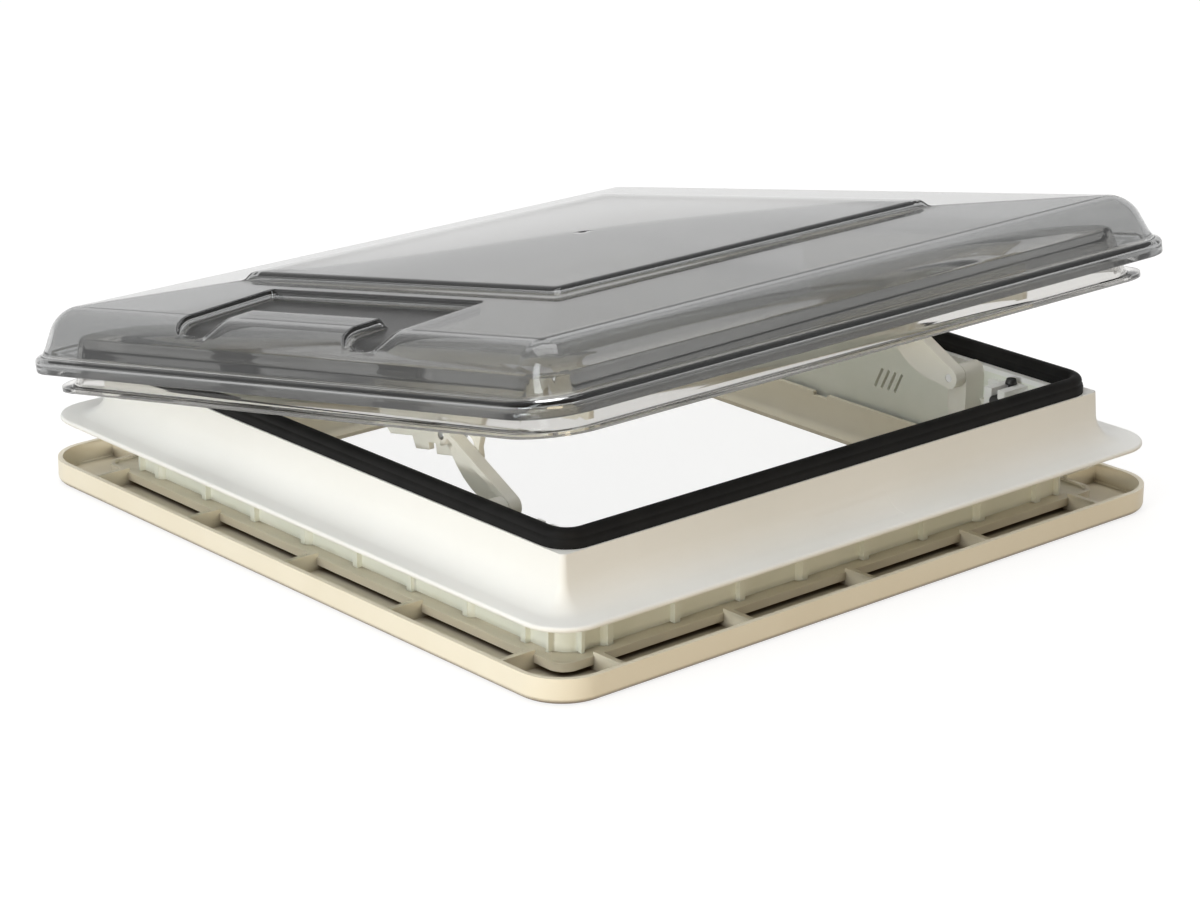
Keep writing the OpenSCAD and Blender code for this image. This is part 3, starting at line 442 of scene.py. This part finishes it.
skin_out, depths_out = dome_skin(0)
skin_in, depths_in = dome_skin(dome_wall)
rings = skin_in[::-1] + skin_out
count = len(rings[0])
points = np.concatenate([*rings, skin_in[-1].mean(0)[None], skin_out[-1].mean(0)[None]])
faces = []
for i in range(len(rings) - 1):
    for j in range(count):
        k = (j + 1) % count
        faces.append((i * count + j, i * count + k, (i + 1) * count + k, (i + 1) * count + j))
last = (len(rings) - 1) * count
middle_in, middle_out = len(points) - 2, len(points) - 1
for j in range(count):
    k = (j + 1) % count
    faces.append((middle_in, k, j))
    faces.append((middle_out, last + j, last + k))
dome_mesh = bpy.data.meshes.new("lid_dome")
dome_mesh.from_pydata([raised @ Vector(p) for p in points], [], faces)
settle(dome_mesh, 60)
dome_mesh.materials.append(smoked("dome_acrylic", (0.55, 0.555, 0.555), 0.03))
# The recess floor has a real pebbled grain. Its near-black tone is painted shade.
dome_mesh.materials.append(smoked("grained_acrylic_painted_shade", (0.06, 0.06, 0.06), 0.28, grain=0.5))
grained_from = 0.0045
pressed = np.concatenate([*depths_in[::-1], *depths_out, [0, 0]]) > grained_from
dome_mesh.polygons.foreach_set("material_index", [int(all(pressed[v] for v in f)) for f in faces])
dome = bpy.data.objects.new("lid_dome", dome_mesh)
bpy.context.scene.collection.objects.link(dome)
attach(dome, "lid")
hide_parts("outer_dome")


# Lid guides and arms
# An ivory plate hangs from the pan on each side, with a curved slot for the stud of the arm.
# The arms turn on the wall brackets and carry the lid on those studs.
for side in ("near", "far"):
    dressed(f"{side}_lid_guide", f"{side}_slotted_guide", ivory, ease=0.0006)
    dressed(f"{side}_arm", f"{side}_lift_arm", ivory, ease=0.0007)
    dressed(f"{side}_slide_stud", f"{side}_arm_stud", steel, ease=0.0004)


# Screws
# Plated pan-head screws with a cross recess hold the trim, brackets, housings, hinges and guides.
# A node tree sets one on each place, with the places and directions read off the solids.
def screw_tree():
    # A screw points along Z, with its seat at the origin and its head below it.
    head_sides, shank_sides = 24, 16
    tree = bpy.data.node_groups.new("pan_head_screws", "GeometryNodeTree")
    tree.interface.new_socket("Places", in_out="INPUT", socket_type="NodeSocketGeometry")
    for name in ("Shank Radius", "Head Radius", "Head Height", "Length"):
        tree.interface.new_socket(name, in_out="INPUT", socket_type="NodeSocketFloat")
    tree.interface.new_socket("Finish", in_out="INPUT", socket_type="NodeSocketMaterial")
    tree.interface.new_socket("Screws", in_out="OUTPUT", socket_type="NodeSocketGeometry")
    given = tree.nodes.new("NodeGroupInput")
    result = tree.nodes.new("NodeGroupOutput")

    def sized(size, factor):
        scale = tree.nodes.new("ShaderNodeMath")
        scale.operation = "MULTIPLY"
        scale.inputs[1].default_value = factor
        tree.links.new(given.outputs[size], scale.inputs[0])
        return scale.outputs[0]

    def lifted(part, height):
        place = tree.nodes.new("ShaderNodeCombineXYZ")
        tree.links.new(height, place.inputs["Z"])
        move = tree.nodes.new("GeometryNodeTransform")
        tree.links.new(part, move.inputs["Geometry"])
        tree.links.new(place.outputs[0], move.inputs["Translation"])
        return move.outputs[0]

    def turned(sides, low, high, depth):
        cone = tree.nodes.new("GeometryNodeMeshCone")
        cone.inputs["Vertices"].default_value = sides
        tree.links.new(low, cone.inputs["Radius Bottom"])
        tree.links.new(high, cone.inputs["Radius Top"])
        tree.links.new(depth, cone.inputs["Depth"])
        return cone.outputs["Mesh"]

    crown = turned(head_sides, sized("Head Radius", 0.62), sized("Head Radius", 0.97),
                   sized("Head Height", 0.6))
    crown = lifted(crown, sized("Head Height", -1.0))
    rim = turned(head_sides, sized("Head Radius", 0.99), sized("Head Radius", 1.0),
                 sized("Head Height", 0.42))
    rim = lifted(rim, sized("Head Height", -0.42))
    shank = turned(shank_sides, given.outputs["Shank Radius"], sized("Shank Radius", 0.9),
                   given.outputs["Length"])
    cross = tree.nodes.new("GeometryNodeMeshBoolean")
    cross.operation = "DIFFERENCE"
    tree.links.new(crown, cross.inputs["Mesh 1"])
    for long, wide in ((1.15, 0.26), (0.26, 1.15)):
        size = tree.nodes.new("ShaderNodeCombineXYZ")
        tree.links.new(sized("Head Radius", long), size.inputs["X"])
        tree.links.new(sized("Head Radius", wide), size.inputs["Y"])
        tree.links.new(sized("Head Height", 0.8), size.inputs["Z"])
        bar = tree.nodes.new("GeometryNodeMeshCube")
        tree.links.new(size.outputs[0], bar.inputs["Size"])
        tree.links.new(lifted(bar.outputs["Mesh"], sized("Head Height", -1.0)), cross.inputs["Mesh 2"])
    whole = tree.nodes.new("GeometryNodeJoinGeometry")
    for part in (cross.outputs["Mesh"], rim, shank):
        tree.links.new(part, whole.inputs["Geometry"])
    axis = tree.nodes.new("GeometryNodeInputNamedAttribute")
    axis.data_type = "FLOAT_VECTOR"
    axis.inputs["Name"].default_value = "screw_axis"
    aim = tree.nodes.new("FunctionNodeAlignRotationToVector")
    aim.axis = "Z"
    tree.links.new(axis.outputs["Attribute"], aim.inputs["Vector"])
    spread = tree.nodes.new("GeometryNodeInstanceOnPoints")
    tree.links.new(given.outputs["Places"], spread.inputs["Points"])
    tree.links.new(whole.outputs[0], spread.inputs["Instance"])
    tree.links.new(aim.outputs["Rotation"], spread.inputs["Rotation"])
    real = tree.nodes.new("GeometryNodeRealizeInstances")
    tree.links.new(spread.outputs[0], real.inputs["Geometry"])
    finish = tree.nodes.new("GeometryNodeSetMaterial")
    tree.links.new(real.outputs[0], finish.inputs["Geometry"])
    tree.links.new(given.outputs["Finish"], finish.inputs["Material"])
    tree.links.new(finish.outputs[0], result.inputs["Screws"])
    return tree


def screw_places(node):
    # The seat and direction of each screw in a node, and its length below the head.
    solid = welded(node)
    reached = set()
    seats, axes, lengths = [], [], []
    for first in solid.verts:
        if first in reached:
            continue
        reached.add(first)
        island = [first]
        for vert in island:
            beside = [edge.other_vert(vert) for edge in vert.link_edges]
            unshaded_colour = [other for other in beside if other not in reached]
            reached.update(unshaded_colour)
            island += unshaded_colour
        cloud = np.array([v.co for v in island])
        middle = cloud.mean(0)
        axis = np.linalg.eigh(np.cov((cloud - middle).T))[1][:, 2]
        along = (cloud - middle) @ axis
        off = np.linalg.norm(cloud - middle - np.outer(along, axis), axis=1)
        if off[along > along.mean()].max() > off[along < along.mean()].max():
            axis, along = -axis, -along
        seat = along[off > 0.95 * off.max()].max()
        seats.append(middle + axis * seat)
        axes.append(axis)
        lengths.append(along.max() - seat)
    solid.free()
    return seats, axes, float(np.mean(lengths))


pan_head = screw_tree()
for fixed in ("trim", "bracket", "lock", "hinge_bracket", "hinge_leaf", "guide"):
    node = f"{fixed}_screws"
    name = f"{fixed}_screw_set"
    seats, axes, length = screw_places(node)
    spots = bpy.data.meshes.new(name + "_places")
    spots.from_pydata(seats, [], [])
    heading = spots.attributes.new("screw_axis", "FLOAT_VECTOR", "POINT")
    heading.data.foreach_set("vector", np.ravel(axes))
    layout = bpy.data.objects.new(name + "_layout", spots)
    bpy.context.scene.collection.objects.link(layout)
    setter = layout.modifiers.new("screws", "NODES")
    setter.node_group = pan_head
    sizes = {"Shank Radius": 0.0015, "Head Radius": 0.0029, "Head Height": 0.0019, "Length": length,
             "Finish": steel}
    for socket in pan_head.interface.items_tree:
        if socket.in_out == "INPUT" and socket.name in sizes:
            setter[socket.identifier] = sizes[socket.name]
    shaped = layout.evaluated_get(bpy.context.evaluated_depsgraph_get())
    built = bpy.data.meshes.new_from_object(shaped)
    layout.modifiers.clear()
    bpy.data.objects.remove(layout)
    settle(built, 35)
    piece = bpy.data.objects.new(name, built)
    bpy.context.scene.collection.objects.link(piece)
    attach(piece, nodes[node]["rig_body"])
    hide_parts(node)


# Table and backdrop
# White paper to the eye and in reflections, softer through the smoked shells, with the vent's shadow
# on it. On the vent it throws only the light of a plain warm grey.
table_height = cad_box[0].z
table_half = 6
corners = [(x * table_half, y * table_half, table_height) for x, y in ((-1, -1), (1, -1), (1, 1), (-1, 1))]
table_mesh = bpy.data.meshes.new("table")
table_mesh.from_pydata(corners, [], [(0, 1, 2, 3)])
table = bpy.data.objects.new("table", table_mesh)
bpy.context.scene.collection.objects.link(table)
paper = bpy.data.materials.new("white_paper")
paper.use_nodes = True
sheet = paper.node_tree
sheet.nodes.remove(sheet.nodes["Principled BSDF"])
rays = sheet.nodes.new("ShaderNodeLightPath")
seen = sheet.nodes.new("ShaderNodeMath")
seen.operation = "MAXIMUM"
sheet.links.new(rays.outputs["Is Camera Ray"], seen.inputs[0])
mirrored = sheet.nodes.new("ShaderNodeMath")
mirrored.operation = "MAXIMUM"
sheet.links.new(rays.outputs["Is Glossy Ray"], mirrored.inputs[0])
share_through_shells = 0.45
through = sheet.nodes.new("ShaderNodeMath")
through.operation = "MULTIPLY"
through.inputs[1].default_value = share_through_shells
sheet.links.new(rays.outputs["Is Transmission Ray"], through.inputs[0])
sheet.links.new(through.outputs[0], mirrored.inputs[1])
sheet.links.new(mirrored.outputs[0], seen.inputs[1])
plain = sheet.nodes.new("ShaderNodeBsdfDiffuse")
plain.inputs["Color"].default_value = (0.48, 0.42, 0.33, 1)
shadowed = sheet.nodes.new("ShaderNodeBsdfDiffuse")
shadowed.inputs["Color"].default_value = (0.30, 0.30, 0.30, 1)
glow = sheet.nodes.new("ShaderNodeEmission")
glow.inputs["Strength"].default_value = 0.77
bright = sheet.nodes.new("ShaderNodeAddShader")
sheet.links.new(shadowed.outputs[0], bright.inputs[0])
sheet.links.new(glow.outputs[0], bright.inputs[1])
either = sheet.nodes.new("ShaderNodeMixShader")
sheet.links.new(seen.outputs[0], either.inputs["Fac"])
sheet.links.new(plain.outputs[0], either.inputs[1])
sheet.links.new(bright.outputs[0], either.inputs[2])
sheet.links.new(either.outputs[0], sheet.nodes["Material Output"].inputs["Surface"])
table_mesh.materials.append(paper)


# Studio light
# A tall soft panel on the left with a low one beside it, a warm low one in front and a wide one
# above. The room is pale behind the vent, and dimmer and warmer on the near side, which draws the
# dark edges of the clear shells.
room = bpy.data.worlds.new("white_room")
bpy.context.scene.world = room
room.use_nodes = True
air = room.node_tree
walls = air.nodes["Background"]
facing = air.nodes.new("ShaderNodeTexCoord")
away = air.nodes.new("ShaderNodeVectorMath")
away.operation = "DOT_PRODUCT"
away.inputs[1].default_value = (0.63, 0.70, 0.33)
air.links.new(facing.outputs["Generated"], away.inputs[0])
dimming = air.nodes.new("ShaderNodeMapRange")
dimming.interpolation_type = "SMOOTHSTEP"
dimming.inputs["From Min"].default_value = -0.55
dimming.inputs["From Max"].default_value = 0.45
air.links.new(away.outputs["Value"], dimming.inputs["Value"])
wall_colour = air.nodes.new("ShaderNodeValToRGB")
wall_colour.color_ramp.elements[0].color = (0.25, 0.208, 0.155, 1)
wall_colour.color_ramp.elements[1].color = (0.72, 0.72, 0.72, 1)
air.links.new(dimming.outputs["Result"], wall_colour.inputs["Fac"])
air.links.new(wall_colour.outputs["Color"], walls.inputs["Color"])


def panel_light(name, place, aim, size, power, colour=(1, 1, 1)):
    lamp = bpy.data.lights.new(name, "AREA")
    lamp.shape = "RECTANGLE"
    lamp.size, lamp.size_y = size
    lamp.energy = power
    lamp.color = colour
    holder = bpy.data.objects.new(name, lamp)
    holder.location = place
    holder.rotation_euler = (Vector(aim) - Vector(place)).to_track_quat("-Z", "Y").to_euler()
    bpy.context.scene.collection.objects.link(holder)


cool = (0.93, 0.98, 1.0)
warm = (1.0, 0.84, 0.60)
panel_light("left_panel", (-1.95, -0.55, 1.35), (0, 0, 0.02), (0.6, 1.7), 16.5, cool)
panel_light("low_panel", (-2.2, -0.25, 0.24), (0, 0, 0.02), (1.0, 0.24), 14, cool)
panel_light("front_panel", (-1.2, -1.9, 0.2), (0.05, 0, 0), (1.0, 0.24), 9.5, warm)
panel_light("top_panel", (0.2, 0.4, 2.4), (0, 0, 0.05), (2.0, 1.6), 22)


# Camera
# A long lens at the photograph's viewing angle, with a trace of roll. The azimuth turns about Z from
# the front of the vent, and the elevation rises from the table.
azimuth, elevation, roll = math.radians(-41.73), math.radians(19.15), math.radians(0.45)
aim = Vector((0.00138, -0.00121, -0.01266))
distance = 2.01974
ahead = Vector((math.sin(azimuth), -math.cos(azimuth), 0))
back = ahead * math.cos(elevation) + Vector((0, 0, math.sin(elevation)))
level_right = Vector((math.cos(azimuth), math.sin(azimuth), 0))
level_up = back.cross(level_right)
right = math.cos(roll) * level_right + math.sin(roll) * level_up
up = math.cos(roll) * level_up - math.sin(roll) * level_right
lens = bpy.data.cameras.new("camera")
lens.sensor_width = 36
lens.lens = 102.87
lens.clip_start, lens.clip_end = 0.05, 50
camera = bpy.data.objects.new("camera", lens)
bpy.context.scene.collection.objects.link(camera)
turn = Matrix((right, up, back)).transposed()
camera.matrix_world = Matrix.Translation(aim + back * distance) @ turn.to_4x4()
bpy.context.scene.camera = camera
bpy.context.scene.view_settings.view_transform = "Standard"
